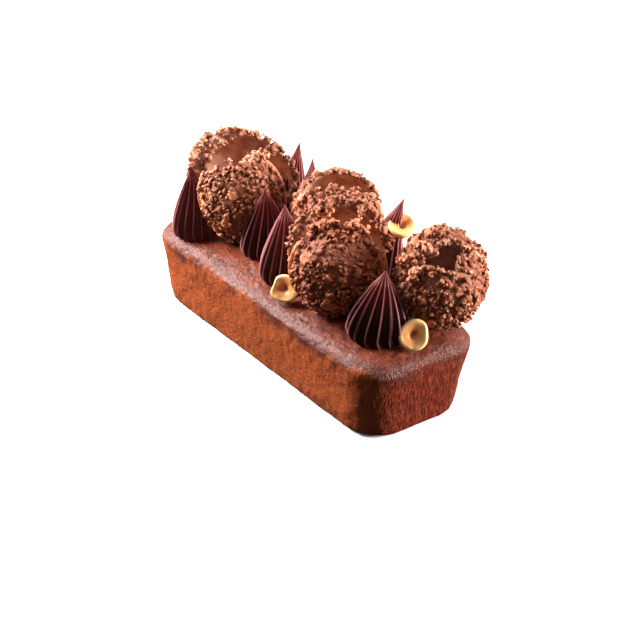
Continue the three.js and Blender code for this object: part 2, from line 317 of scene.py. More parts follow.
def crust_finish():
    """Baked crust: orange-brown grained sides, a mauve-brown pored top with painted shade in its deepest
    pits, and fine ribs at the +X end, painted a darker red-brown as painted shade.
    """
    finish = Finish("baked crust")
    parts = finish.node("ShaderNodeSeparateXYZ")
    finish.feed(finish.place(), parts.inputs[0])
    height = parts.outputs["Z"]
    facing = finish.node("ShaderNodeSeparateXYZ")
    finish.feed(finish.node("ShaderNodeNewGeometry").outputs["Normal"], facing.inputs[0])
    end = finish.range(facing.outputs["X"], 0.5, 0.97)

    speckle = finish.range(finish.grain(0.8, 3, 0.6), 0.36, 0.64)
    side_colour = finish.blend(speckle, SIDE_DARK, SIDE_LIGHT)
    patches = finish.range(finish.grain(7, 2), 0.4, 0.7, 0, 0.6)
    side_colour = finish.blend(patches, side_colour, SIDE_PATCH)
    # the +X end gets fine upright ribs, painted a darker red-brown as painted shade
    ribs = finish.range(finish.grain(0.9, 2, 0.6, stretch=(1, 1, 7)), 0.34, 0.66)
    side_colour = finish.blend(end, side_colour, finish.blend(ribs, SHADED_END_GROOVE, SHADED_END_RIB))

    top_speckle = finish.range(finish.grain(0.75, 3, 0.6), 0.36, 0.62)
    top_colour = finish.blend(top_speckle, TOP_DARK, TOP_LIGHT)
    uneven = finish.range(finish.grain(9, 2), 0.3, 0.7, -2.2 * MM, 2.2 * MM)
    toasted = finish.range(finish.sums("ADD", height, uneven), 43.5 * MM, 46.5 * MM, 0, 0.7)
    top_colour = finish.blend(toasted, top_colour, TOASTED)
    waver = finish.range(finish.grain(16, 3, 0.6), 0.3, 0.7, -5.5 * MM, 5.5 * MM, smooth=False)
    top = finish.range(finish.sums("ADD", height, waver), 33 * MM, 41 * MM)
    colour = finish.blend(top, side_colour, top_colour)

    # painted shade in the crust's pits, where its relief dips deepest
    pit_shade = finish.range(finish.painted("pore"), -0.42, -0.12)
    colour = finish.blend(pit_shade, PIT_SHADE, colour)
    pinholes = finish.range(finish.grain(0.8, 1), 0.27, 0.34)
    colour = finish.blend(pinholes, PINHOLE, colour)
    finish.surface("Base Color", colour)
    finish.surface("Roughness", finish.range(finish.grain(2.5, 2), 0.3, 0.7, 0.40, 0.48))
    finish.surface("Specular IOR Level", finish.range(top, 0, 1, 0.17, 0.3))
    finish.surface("Specular Tint", (1, 0.88, 0.82, 1))
    finish.surface("Subsurface Weight", 0.05)
    finish.surface("Subsurface Radius", (0.003, 0.0012, 0.0006))
    fine = finish.bump(finish.grain(0.62, 3, 0.7), 0.3, 1.0)
    holes = finish.bump(pinholes, 0.45, 0.9, under=fine)
    ribbed = finish.bump(finish.sums("MULTIPLY", ribs, end), 0.45, 1.0, under=holes)
    rough = finish.bump(finish.grain(1.8, 3, 0.6), 0.6, 0.9, under=ribbed)
    finish.surface("Normal", rough)
    return finish.material


loaf = bake_loaf()
loaf.data.materials.append(crust_finish())
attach(loaf, "root")
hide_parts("loaf")

# ---- Crumble shells ----
# Each ball is two hollow halves of baked praline crumble, pressed in a round mould. Crumbs of about 1, 3 and
# 6 mm are fused together with cracks between them, and parts of the seam have a smooth lip. The halves stand
# a little apart, their tops broken off jagged.
BALL_FACING = -38
BIG_CRUMB = 6.2
MIDDLE_CRUMB = 2.7
SMALL_CRUMB = 1.15
LIP_WIDTH = 3.8
CRUMB_STEP = 0.4
GRID_ROOM = 2.8
SHELL_TRIANGLES = 76000
FINEST_SHELLS = ("crumble_shell_1_front", "crumble_shell_3_front", "crumble_shell_4_front")
FINEST_TRIANGLES = 112000
# side is 1 for the front half and -1 for the back one. roll turns a half about its pole, turn about the
# upright and lean upwards. ragged is how far the edge broke off along the crumbs, wall the thickness, baked
# how much painted shade darkens the whole half, from 0 to 1, and trough how deep the broken edge is hollowed
# along its middle.
# crest is [direction round the pole from the top, angle from the pole to the broken edge], thick is
# [direction, half width, extra wall at the edge], lips are [first, last direction], and heaps of stuck
# crumbs are [angle from the pole, direction, depth under the face, spread]. Angles are in degrees, the rest
# in millimetres.
SHELLS = [
    dict(name="crumble_shell_1_front", centre=(-52.6, -6.6, 71.6), radii=(24.3, 23, 28), side=1, roll=18,
         turn=4, lean=4, ragged=1.1, wall=4.2, baked=0.0, trough=0, seed=11,
         thick=[(0, 70, 1.4)], lips=[(-150, -50), (48, 140)],
         crest=[(-60, 89), (-43, 88), (-38, 79), (-30, 68), (-24, 68), (-17, 60), (-12, 58), (-5, 68),
                (0, 71), (5, 62), (10, 52), (15, 58), (21, 69), (25, 64), (29, 59), (33, 74), (37, 86),
                (50, 89)],
         heaps=[(84, 40, 3, 2.6), (86, 34, 5, 2.2)]),
    dict(name="crumble_shell_1_back", centre=(-64.3, 2, 77.6), radii=(32.6, 18, 26.1), side=-1, roll=-26,
         turn=2, lean=-4, ragged=1.0, wall=4, baked=0.0, trough=3, seed=12,
         thick=[(92, 74, 9.5), (-80, 50, 0.8)], lips=[],
         crest=[(-90, 90), (-50, 84), (-30, 87), (-14, 84), (8, 80), (24, 83), (40, 86), (60, 90)],
         heaps=[(82, -16, 5, 2.3), (79, -14, 8, 2.4), (75, -9, 11, 2.5), (72, -3, 14, 2.6)]),
    dict(name="crumble_shell_2_front", centre=(-5.6, 22.8, 71.2), radii=(24.8, 24, 24.8), side=1, roll=0,
         turn=0, lean=0, ragged=1.5, wall=4.2, baked=0.3, trough=0, seed=21,
         thick=[(0, 90, 1.4)], lips=[(58, 140)],
         crest=[(-64, 86), (-50, 79), (-38, 66), (-24, 61), (-14, 67), (-8, 74), (0, 66), (12, 62),
                (24, 61), (32, 66), (38, 72), (46, 80), (58, 86)],
         heaps=[]),
    dict(name="crumble_shell_2_back", centre=(-8.2, 24.8, 71.6), radii=(24.8, 19, 24.6), side=-1, roll=0,
         turn=4, lean=0, ragged=1.2, wall=3.6, baked=0.2, trough=0, seed=22,
         thick=[(0, 180, -0.8)], lips=[],
         crest=[(-60, 87), (-30, 84), (0, 83), (30, 84), (60, 87)],
         heaps=[]),
    dict(name="crumble_shell_3_front", centre=(41, -12.8, 69.8), radii=(25.2, 24, 25.4), side=1, roll=0,
         turn=-2, lean=0, ragged=1.1, wall=4.2, baked=0.9, trough=0, seed=31,
         thick=[(0, 70, 3.2)], lips=[(-140, -50), (58, 150)],
         crest=[(-60, 88), (-46, 86), (-38, 90), (-31, 98), (-24, 101), (-16, 92), (-8, 90), (0, 98),
                (8, 95), (14, 100), (20, 96), (26, 86), (32, 82), (44, 86), (60, 88)],
         heaps=[(86, -30, 0, 1.7), (84, -20, -0.4, 1.7), (86, -8, -0.6, 1.8), (85, 15, -0.4, 1.8),
                (84, 28, 0, 1.8), (98, -24, 0.6, 1.5), (100, 16, 0.4, 1.6)]),
    dict(name="crumble_shell_3_back", centre=(31.6, -4.4, 74.6), radii=(27.8, 21, 28), side=-1, roll=0,
         turn=6, lean=0, ragged=1.8, wall=4.8, baked=0.6, trough=0, seed=32,
         thick=[(48, 44, 6.5), (0, 40, 1.5), (-50, 60, 3)], lips=[],
         crest=[(-80, 88), (-46, 86), (-30, 81), (-12, 86), (4, 84), (18, 86), (32, 79), (46, 85), (80, 88)],
         heaps=[(84, 30, 5, 2.6), (84, 20, 6, 2.4), (84, -24, 5, 2.6), (82, -60, 5, 2.4)]),
    dict(name="crumble_shell_4_front", centre=(82.9, 20.8, 70.2), radii=(23.4, 23.4, 23.4), side=1, roll=0,
         turn=25, lean=-28, ragged=0.5, wall=4.2, baked=0.35, trough=0, seed=41,
         thick=[], lips=[],
         crest=[(-70, 97), (-36, 97), (-29, 92), (-24, 80), (-16, 76), (-10, 78), (-5, 84), (0, 93), (8, 98),
                (70, 98)],
         heaps=[(96, 30, 2.4, 1.8), (96, 46, 2.4, 1.8), (96, 64, 2.4, 1.8), (90, -52, 0, 2),
                (88, -62, 0, 2)]),
    dict(name="crumble_shell_4_back", centre=(78.4, 23.1, 73.1), radii=(24.4, 24.4, 24.2), side=-1, roll=0,
         turn=25, lean=28, ragged=0.5, wall=4.2, baked=0.35, trough=0, seed=42,
         thick=[(0, 50, 1.4)], lips=[],
         crest=[(-70, 98), (-12, 98), (-6, 92), (0, 82), (6, 78), (14, 79), (20, 85), (26, 95), (70, 97)],
         heaps=[(80, 2, 1.6, 1.5), (81, 12, 1.8, 1.5), (84, 33, -0.6, 2.2), (76, 42, -0.5, 2),
                (62, 22, -0.8, 1.6), (84, 54, -0.4, 2.2), (78, 64, -0.4, 2.2)]),
]


def grid_noise(lines, size, seed):
    """Smooth random hills from -1 to 1, about size millimetres across, at the points of a grid."""
    spreads = []
    for line in lines:
        place = (line - line[0]) / size
        base = np.floor(place).astype(int)
        part = place - base
        part = part * part * (3 - 2 * part)
        spread = np.zeros((len(line), base[-1] + 2), np.float32)
        spread[np.arange(len(line)), base] = 1 - part
        spread[np.arange(len(line)), base + 1] = part
        spreads.append(spread)
    table = np.random.default_rng(seed).uniform(-1, 1, [spread.shape[1] for spread in spreads])
    return np.einsum("ai,bj,ck,ijk->abc", *spreads, table.astype(np.float32), optimize=True)


def surface_net(field, step, corner):
    """Points and four-cornered faces of the skin where a field passes zero; it is under zero inside."""
    size = np.array(field.shape) - 1
    offsets = np.array(list(np.ndindex(2, 2, 2)))
    inside = field < 0
    count = np.zeros(size, np.int8)
    for i, j, k in offsets:
        count += inside[i:size[0] + i, j:size[1] + j, k:size[2] + k]
    cells = np.argwhere((count > 0) & (count < 8))
    values = np.stack([field[tuple((cells + offset).T)] for offset in offsets], axis=1)
    total = np.zeros((len(cells), 3))
    crossings = np.zeros(len(cells))
    for start, first in enumerate(offsets):
        for end, second in enumerate(offsets):
            if end > start and np.abs(second - first).sum() == 1:
                crossed = (values[:, start] < 0) != (values[:, end] < 0)
                share = values[crossed, start] / (values[crossed, start] - values[crossed, end])
                total[crossed] += first + (second - first) * share[:, None]
                crossings[crossed] += 1
    points = np.array(corner) + step * (cells + total / crossings[:, None])
    number = np.full(size, -1, np.int32)
    number[tuple(cells.T)] = np.arange(len(cells))
    faces = []
    for axis in range(3):
        one, two = (axis + 1) % 3, (axis + 2) % 3
        here = np.take(inside, range(0, size[axis]), axis)
        ahead = np.take(inside, range(1, size[axis] + 1), axis)
        edge = np.argwhere(here != ahead)
        edge = edge[(edge[:, one] > 0) & (edge[:, one] < size[one])]
        edge = edge[(edge[:, two] > 0) & (edge[:, two] < size[two])]
        leaving = inside[tuple(edge.T)]
        quad = []
        for back_one, back_two in ((1, 1), (0, 1), (0, 0), (1, 0)):
            cell = edge.copy()
            cell[:, one] -= back_one
            cell[:, two] -= back_two
            quad.append(number[tuple(cell.T)])
        quad = np.stack(quad, axis=1)
        quad[~leaving] = quad[~leaving, ::-1]
        faces.append(quad)
    return points, np.vstack(faces)


def largest_piece(points, faces):
    """Leaves out loose scraps that touch nothing."""
    links = np.vstack([faces[:, [0, 1]], faces[:, [1, 2]], faces[:, [2, 3]]])
    group = np.arange(len(points))
    while True:
        least = np.minimum(group[links[:, 0]], group[links[:, 1]])
        fresh = group.copy()
        np.minimum.at(fresh, group[links[:, 0]], least)
        np.minimum.at(fresh, group[links[:, 1]], least)
        fresh = fresh[fresh[fresh]]
        if np.array_equal(fresh, group):
            break
        group = fresh
    kept = group == np.bincount(group).argmax()
    number = np.cumsum(kept) - 1
    return points[kept], number[faces[kept[faces[:, 0]]]]


def crowding(solid, reach):
    """The share of the room within reach cells each way that is solid, for each cell of a grid."""
    window = 2 * reach + 1
    for axis in range(3):
        room = [(reach + 1, reach) if way == axis else (0, 0) for way in range(3)]
        total = np.cumsum(np.pad(solid, room, mode="edge"), axis=axis, dtype=np.float32)
        ends = np.take(total, range(window, total.shape[axis]), axis)
        solid = (ends - np.take(total, range(0, total.shape[axis] - window), axis)) / window
    return solid


def shell_axes(shell):
    """The sideways, top and pole directions of a shell."""
    heading = radians(BALL_FACING + shell["turn"] + (0 if shell["side"] > 0 else 180))
    lean = radians(shell["lean"])
    pole = Vector((cos(heading) * cos(lean), sin(heading) * cos(lean), sin(lean)))
    across = Vector((0, 0, 1)).cross(pole).normalized()
    top = pole.cross(across)
    rolled = Matrix.Rotation(shell["side"] * radians(shell["roll"]), 3, pole)
    return np.array([rolled @ across, rolled @ top, pole])


def hump(round_angle, middle, half_width):
    """One at the middle direction, falling to nothing half_width degrees away from it."""
    away = np.abs((round_angle - middle + 180) % 360 - 180) / half_width
    return np.clip(1 - away**2, 0, 1)


def rim_angle(shell, round_angle):
    """The angle from the pole to the broken edge, for directions round the pole from the top, in degrees."""
    directions, angles = np.array(shell["crest"], float).T
    return np.interp(round_angle, directions, angles)


def on_shell(shell, angle, round_angle, depth):
    """Places under the mould's face, in the shell's own directions, from angles in degrees."""
    across, deep, tall = shell["radii"]
    angle, round_angle = np.radians(angle), np.radians(round_angle)
    return np.stack([
        np.sin(angle) * np.sin(round_angle) * (across - depth),
        np.sin(angle) * np.cos(round_angle) * (tall - depth),
        np.cos(angle) * (deep - depth),
    ], axis=-1)


def thin_mesh(name, points, faces, triangles):
    """A mesh with fewer triangles: few where it is smooth, many on the crumbs."""
    rough = skin_mesh(name, points, faces)
    fewer = rough.modifiers.new("fewer", "DECIMATE")
    fewer.ratio = min(1, triangles / (2 * len(faces)))
    graph = bpy.context.evaluated_depsgraph_get()
    mesh = bpy.data.meshes.new_from_object(rough.evaluated_get(graph))
    old = rough.data
    rough.modifiers.clear()
    rough.data = mesh
    bpy.data.meshes.remove(old)
    mesh.name = name
    return rough


def crumbs(points, size, seed):
    """For each point: millimetres from the crack round its crumb, and its crumb's number from -0.5 to 0.5."""
    cells = 32
    draw = np.random.default_rng(seed)
    middles = draw.uniform(0.1, 0.9, (cells, cells, cells, 3)).astype(np.float32)
    numbers = draw.uniform(-0.5, 0.5, (cells, cells, cells)).astype(np.float32)
    place = (points / size).astype(np.float32)
    base = np.floor(place).astype(np.int32)
    part = place - base
    nearest = np.full(len(points), 9, np.float32)
    second = nearest.copy()
    own = np.zeros(len(points), np.float32)
    for step in np.ndindex(3, 3, 3):
        step = np.array(step) - 1
        index = tuple(((base + step) % cells).T)
        away = np.linalg.norm(part - middles[index] - step.astype(np.float32), axis=1)
        closer = away < nearest
        second = np.where(closer, nearest, np.minimum(second, away))
        nearest = np.where(closer, away, nearest)
        own = np.where(closer, numbers[index], own)
    inside = (second - nearest) * size / 2
    return inside, own * np.clip(inside / (0.12 * size), 0, 1)


def press_crumble(shell):
    draw = np.random.default_rng(shell["seed"])
    across, deep, tall = shell["radii"]
    radius = (across + tall) / 2
    axes = shell_axes(shell)
    centre = np.array(shell["centre"], float)
    wall = shell["wall"]
    seed = shell["seed"] * 100

    # a grid of places in the half's own directions, each with its depth under the face and its two angles
    low = np.array([-across - GRID_ROOM, -tall - GRID_ROOM, -deep * sin(radians(20)) - 2])
    high = np.array([across + GRID_ROOM, tall + GRID_ROOM, deep + GRID_ROOM])
    counts = np.ceil((high - low) / CRUMB_STEP).astype(int)
    lines = [low[way] + CRUMB_STEP * np.arange(counts[way]) for way in range(3)]
    grid = np.stack(np.meshgrid(*lines, indexing="ij"), axis=-1).astype(np.float32)
    scaled = grid / np.array([across, tall, deep], np.float32)
    spread = np.linalg.norm(scaled, axis=-1) + 1e-6
    depth = np.linalg.norm(grid, axis=-1) * (1 / spread - 1)
    angle = np.degrees(np.arccos(np.clip(scaled[..., 2] / spread, -1, 1)))
    round_angle = np.degrees(np.arctan2(scaled[..., 0], scaled[..., 1]))
    grit = grid_noise(lines, 0.9, seed + 3)
    wander = []
    for way in range(3):
        wander.append(grid_noise(lines, 1.5, seed + way) * 0.34 + np.roll(grit, 3 * way, axis=way) * 0.18)
    bent = grid + np.stack(wander, axis=-1)
    lip = sum(hump(round_angle, (first + last) / 2, (last - first) / 2) for first, last in shell["lips"])
    lip = np.clip(np.asarray(lip) * 4, 0, 1) + np.zeros_like(depth)
    ragged = grid_noise(lines, 6, seed + 6) * 2.2 + grid_noise(lines, 2.8, seed + 7) * 1.6
    from_edge = np.radians(rim_angle(shell, round_angle) - angle) * radius
    from_edge = from_edge + ragged * shell["ragged"] * (1 - lip * 0.7)

    # crumbs of three sizes are pressed together with cracks between them; they are smooth along the lip and
    # in a few well filled patches, and the edge is broken off along them
    filled = np.clip(grid_noise(lines, 8, seed + 8) * 5 - 2.4, 0, 1)
    on_lip = lip * np.clip(LIP_WIDTH - np.abs(from_edge), 0, 1)
    smooth = np.maximum(filled * 0.8, on_lip)
    extra = np.full_like(depth, 0.5)
    for middle, half, size in shell["thick"]:
        extra += size * hump(round_angle, middle, half)
    inner = wall + extra * np.clip(1 - (from_edge - 1.5) / (3 + extra), 0, 1)
    near_edge = (from_edge < 14) & (depth < inner + 2.2)
    near = (depth > -1.4) & (from_edge > -5) & ((depth < 4.6) | near_edge)
    spots = bent[near]
    big_inside, big = crumbs(spots, BIG_CRUMB, seed + 20)
    mid_inside, mid = crumbs(spots, MIDDLE_CRUMB, seed + 21)
    small_inside, small = crumbs(spots, SMALL_CRUMB, seed + 22)
    cracks = np.clip(1 - big_inside / 0.85, 0, 1) * 1.5 + np.clip(1 - mid_inside / 0.5, 0, 1) * 1.2
    cracks += np.clip(1 - small_inside / 0.28, 0, 1) * 0.4
    missing = (mid > 0.34) * 1.2 + (small > 0.38) * 0.6
    rough = np.clip(1 - (from_edge[near] - 2) / (3 + extra[near]), 0, 1)
    relief = 0.5 - 0.7 * rough + big * 2.0 + mid * 1.7 + small * 0.9 + cracks * 1.25 + missing
    relief = np.clip(relief, -1.6, 2.6)
    loose = shell["ragged"] * (1 - lip[near])
    broken = (big * 4.2 + mid * 2.6 + small * 1.0) * loose + cracks * 0.7 * (1 - lip[near]) + 0.6
    share = depth[near] / inner[near]
    trough = shell["trough"] * np.clip(1 - ((share - 0.5) / 0.26) ** 2, 0, 1)
    trough = trough * hump(round_angle[near], 50, 90)
    field = np.maximum(np.maximum(0.1 - depth, depth - wall), 0.6 - from_edge)
    field[near] = np.maximum.reduce([
        0.1 + relief * (1 - smooth[near]) - depth[near],
        depth[near] - inner[near] + (cracks * 0.8 - big * 2.0 - mid * 1.4) * rough * (1 - lip[near]),
        broken + trough - from_edge[near],
    ])
    shade = np.full(field.shape, 0.5, np.float32)
    shade[near] = np.clip(0.5 + mid * 0.7 + small * 0.4, 0, 1)
    # how near each place is to a crack, for the darker crumb sides and painted shade along the cracks
    crack = np.zeros(field.shape, np.float32)
    crack[near] = np.clip(cracks, 0, 1) * (1 - smooth[near])

    def lay(places, sizes):
        """Adds lumps: ball-like, squashed and turned at random, with several faces broken flat."""
        for place, size in zip(places.astype(np.float32), sizes):
            spin = np.linalg.qr(draw.normal(size=(3, 3)))[0].astype(np.float32)
            shape = (draw.uniform(0.8, 1.35, 3) * size).astype(np.float32)
            flats = draw.uniform(0.5, 0.9, 7).astype(np.float32) * size
            sides = draw.normal(size=(3, 7)).astype(np.float32)
            sides /= np.linalg.norm(sides, axis=0)
            tone = draw.uniform(0, 1)
            first = np.maximum(((place - low - size * 1.5) / CRUMB_STEP).astype(int), 0)
            last = np.minimum(((place - low + size * 1.5) / CRUMB_STEP).astype(int) + 2, counts)
            if np.any(last <= first):
                continue
            block = tuple(slice(a, b) for a, b in zip(first, last))
            away = bent[block] - place
            lump = (np.linalg.norm((away @ spin) / shape, axis=-1) - 1) * shape.min()
            lump = np.maximum(lump, (away @ sides - flats).max(axis=-1))
            nearer = lump < field[block]
            field[block][nearer] = lump[nearer]
            shade[block][nearer] = tone

    def cells_at(places):
        return tuple(np.clip(((places - low) / CRUMB_STEP).astype(int), 0, counts - 1).T)

    def scatter(amount, size_low, size_high, sink, least_heap):
        """Lays lumps over the face, heaped in some places, gone in others, and none past the broken edge."""
        tilt = np.degrees(np.arccos(draw.uniform(cos(radians(98)), 1, amount)))
        way = draw.uniform(-180, 180, amount)
        sizes = size_low + (size_high - size_low) * draw.uniform(0, 1, amount) ** 1.6
        places = on_shell(shell, tilt, way, wall / 2)
        heaped = value_noise(places, 5.5, seed + 12) * 1.2 + value_noise(places, 3, seed + 15) * 0.8
        sunk = sizes * draw.uniform(0.4, 0.9, amount) + draw.uniform(0, sink, amount) - heaped * 0.9
        places = on_shell(shell, tilt, way, sunk)
        keep = (from_edge[cells_at(places)] > sizes * 0.4) & (heaped > least_heap)
        lay(places[keep], sizes[keep])

    def scatter_edge(amount, size_low, size_high):
        """Lays lumps through the whole thickness of the broken edge."""
        way = draw.uniform(-180, 180, amount)
        tilt = rim_angle(shell, way) - draw.uniform(-8, 16, amount)
        sizes = size_low + (size_high - size_low) * draw.uniform(0, 1, amount) ** 1.6
        share = draw.uniform(0, 1, amount)
        surface = on_shell(shell, tilt, way, wall)
        cells = cells_at(surface)
        sunk = sizes * 0.1 + share * (inner[cells] - sizes * 0.6)
        keep = (from_edge[cells] > sizes * 0.3) & (lip[cells] < 0.5)
        lay(on_shell(shell, tilt, way, sunk)[keep], sizes[keep])

    area = 2 * pi * (across * tall * deep) ** (2 / 3)
    edge_length = radius * 2 * pi
    scatter(int(area * 0.02), size_low=1.3, size_high=2.3, sink=0.6, least_heap=0.1)
    scatter(int(area * 0.05), size_low=0.7, size_high=1.3, sink=0.9, least_heap=0.0)
    scatter_edge(int(edge_length * 1.3), size_low=0.9, size_high=1.8)
    scatter_edge(int(edge_length * 1.8), size_low=0.5, size_high=0.9)

    # the mould's face outside, flush only in places; the hollow inside
    flush = np.clip(grid_noise(lines, 7, seed + 13) * 3 + 0.4, 0, 1)
    face = -0.15 - 0.9 * (1 - np.maximum(flush, on_lip)) + grid_noise(lines, 3, seed + 16) * 0.3
    face = face - 1.0 * np.clip(1 - from_edge / 6, 0, 1) * (1 - on_lip)
    field = field + grit * 0.13 * (1 - smooth) * (depth < wall)
    field = np.maximum(field, face * (1 - on_lip) - depth)
    field = np.maximum(field, depth - inner)

    for tilt, way, sunk, size in shell["heaps"]:
        middle = on_shell(shell, tilt, way, sunk)
        amount = int(20 * size)
        places = middle + draw.normal(size=(amount, 3)) * size * [0.7, 0.6, 0.5]
        lay(places, 0.5 + 0.9 * draw.uniform(0, 1, amount) ** 1.8)

    world = grid @ axes.astype(np.float32) + centre.astype(np.float32)
    field = np.maximum(field, crust_height(world[..., 0], world[..., 1]) + 0.2 - world[..., 2])
    field[[0, -1]] = 1
    field[:, [0, -1]] = 1
    field[:, :, [0, -1]] = 1

    points, faces = largest_piece(*surface_net(field, CRUMB_STEP, low))
    if np.linalg.det(axes) <= 0:
        faces = faces[:, ::-1]
    triangles = FINEST_TRIANGLES if shell["name"] in FINEST_SHELLS else SHELL_TRIANGLES
    made = thin_mesh(shell["name"].replace("crumble", "pressed"), points, faces, triangles)
    mesh = made.data
    points = np.empty(len(mesh.vertices) * 3, np.float32)
    mesh.vertices.foreach_get("co", points)
    points = points.reshape(-1, 3) / MM
    mesh.vertices.foreach_set("co", ((points @ axes + centre) * MM).astype(np.float32).ravel())
    mesh.update()
    cells = tuple(np.clip(np.round((points - low) / CRUMB_STEP).astype(int), 0, counts - 1).T)
    solid = (field < 0).astype(np.float32)
    # how crowded each point is by crumble close by: the finish paints shade where it is crowded and a
    # highlight where it juts out
    paint(made, "shade_and_highlight_crowding", crowding(solid, 2)[cells])
    # how crowded by crumble within a wider reach, for painted shade in deep holes
    paint(made, "deep_shade_crowding", crowding(solid, 5)[cells])
    paint(made, "inside", np.clip(depth[cells] - wall + 1, 0, 1) * np.clip(from_edge[cells] / 2 - 1, 0, 1))
    paint(made, "from_edge", (from_edge + 5 * on_lip)[cells])
    paint(made, "tone", shade[cells])
    paint(made, "crack", crack[cells])
    # how much painted shade darkens this half as a whole
    paint(made, "baked", np.full(len(points), shell["baked"]))
    return made


CRUMB_DARK = (0.53, 0.126, 0.042, 1)
CRUMB_LIGHT = (0.90, 0.335, 0.155, 1)
PALE_SPECK = (0.95, 0.40, 0.21, 1)
DARK_SPECK = (0.22, 0.042, 0.010, 1)
EDGE_AND_HIGHLIGHT_DARK = (0.86, 0.31, 0.14, 1)
EDGE_AND_HIGHLIGHT_LIGHT = (0.99, 0.56, 0.39, 1)
CORNER_HIGHLIGHT = (0.90, 0.44, 0.29, 1)
SMALL_PORE = (0.15, 0.030, 0.008, 1)
CRACK_DARK_AND_SHADE = (0.12, 0.021, 0.005, 1)
GAP_SHADE = (0.075, 0.013, 0.004, 1)
DEEP_HOLE_SHADE = (0.045, 0.008, 0.003, 1)
PAINTED_SHADE_TINT = (0.84, 0.60, 0.46, 1)
HOLLOW_DARK = (0.52, 0.24, 0.15, 1)
HOLLOW_LIGHT = (0.74, 0.44, 0.31, 1)


def crumble_finish():
    """Baked crumble: caramel on the faces, paler towards the broken edge partly as a painted highlight,
    painted highlights on jutting corners, painted shade near black in the cracks, gaps and deep holes and
    over some whole halves, and smooth milk-brown in the hollow.
    """
    finish = Finish("pressed crumble")
    tone = finish.painted("tone")
    shade_and_highlight_crowding = finish.painted("shade_and_highlight_crowding")
    speckle = finish.range(finish.grain(0.7, 3, 0.6), 0.36, 0.64)
    lit = finish.blend(tone, CRUMB_DARK, CRUMB_LIGHT)
    lit = finish.blend(finish.sums("MULTIPLY", speckle, 0.5), lit, PALE_SPECK)
    lit = finish.blend(finish.range(finish.grain(0.55, 1), 0.36, 0.60, 0.3, 0), lit, DARK_SPECK)
    # paler towards the broken edge: partly the paler broken crumb, partly a painted highlight on the lit rim
    edge = finish.blend(tone, EDGE_AND_HIGHLIGHT_DARK, EDGE_AND_HIGHLIGHT_LIGHT)
    colour = finish.blend(finish.range(finish.painted("from_edge"), 0.5, 6.0, 0.95, 0.0), lit, edge)
    # painted highlight on jutting corners, where little crumble is near
    colour = finish.blend(finish.range(shade_and_highlight_crowding, 0.42, 0.26, 0, 0.4), colour, CORNER_HIGHLIGHT)
    colour = finish.blend(finish.range(finish.grain(0.85, 3, 0.7), 0.34, 0.58, 0.42, 0), colour, SMALL_PORE)
    # darker along the cracks: partly the crumbs' darker sides, partly painted shade in the cracks
    colour = finish.blend(finish.sums("MULTIPLY", finish.painted("crack"), 0.72), colour, CRACK_DARK_AND_SHADE)
    # painted shade, near black, in crowded gaps and deep holes
    colour = finish.blend(finish.range(shade_and_highlight_crowding, 0.50, 0.72), colour, GAP_SHADE)
    colour = finish.blend(finish.range(finish.painted("deep_shade_crowding"), 0.62, 0.84), colour, DEEP_HOLE_SHADE)
    # painted shade: some halves darkened as a whole, as far as their baked value says
    colour = finish.blend(finish.painted("baked"), colour, PAINTED_SHADE_TINT, kind="MULTIPLY")
    hollow = finish.blend(finish.range(finish.grain(6, 2), 0.35, 0.65), HOLLOW_DARK, HOLLOW_LIGHT)
    colour = finish.blend(finish.painted("inside"), colour, hollow)
    finish.surface("Base Color", colour)
    finish.surface("Roughness", finish.range(finish.painted("inside"), 0, 1, 0.46, 0.32))
    finish.surface("Specular IOR Level", 0.32)
    finish.surface("Specular Tint", (1, 0.82, 0.72, 1))
    finish.surface("Subsurface Weight", 0.22)
    finish.surface("Subsurface Radius", (0.003, 0.0009, 0.0003))
    strength = finish.range(finish.painted("inside"), 0, 1, 0.6, 0.08)
    grit = finish.bump(finish.sums("MULTIPLY", finish.grain(0.55, 3, 0.7), strength), 0.7, 1.0)
    finish.surface("Normal", grit)
    return finish.material


crumble = crumble_finish()
for shell in SHELLS:
    pressed = press_crumble(shell)
    pressed.data.materials.append(crumble)
    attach(pressed, "root")
    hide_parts(shell["name"])

# ---- Ganache peaks ----
# Dark whipped ganache, piped with a star nozzle and pulled off upwards, which leaves sharp thin ridges with
# wide smooth valleys between them, curled where the nozzle touched down, and a fine point.
# foot is where a peak stands on the crust, turn the direction of its first ridge in degrees, and the last
# key how far a painted sheen lightens its valleys to a pale mauve, from 0 to 1
PEAKS = [
    dict(name="ganache_peak_1", foot=(-73, -23.8), tip=(-70.4, -28.2, 87), radius=13.2, turn=4, painted_sheen=1.0),
    dict(name="ganache_peak_2", foot=(-28.6, -7), tip=(-27.4, -9.5, 86), radius=14.2, turn=9, painted_sheen=0.15),
    dict(name="ganache_peak_3", foot=(-0.4, -14.6), tip=(-4.6, -13.2, 87), radius=14.2, turn=15, painted_sheen=0.2),
    dict(name="ganache_peak_4", foot=(74, -12.4), tip=(75.8, -11.4, 83), radius=16.2, turn=2, painted_sheen=0.0),
    dict(name="ganache_peak_5", foot=(-56, 29.5), tip=(-56.1, 34.6, 93), radius=10.9, turn=7, painted_sheen=0.3),
    dict(name="ganache_peak_6", foot=(-34.3, 26.5), tip=(-43.3, 34.2, 88.2), radius=10.9, turn=12, painted_sheen=0.3),
    dict(name="ganache_peak_7", foot=(29, 25.4), tip=(32.6, 36.2, 92.8), radius=12.8, turn=1, painted_sheen=0.2),
]
FLUTES = 16
FLUTE_DEPTH = 0.17
RIDGE_SHARPNESS = 2.4
TIP_BEND = 2.2
TWIST = 0.22
FOOT_CURL = 0.16
PEAK_SINK = 1.5
# [share of the height, share of the foot's radius]
PEAK_OUTLINE = [
    [0, 0.86], [0.05, 0.96], [0.13, 1], [0.32, 0.90], [0.54, 0.67], [0.76, 0.38], [0.90, 0.15], [1, 0.012],
]
PEAK_MESH_STEP = 0.034


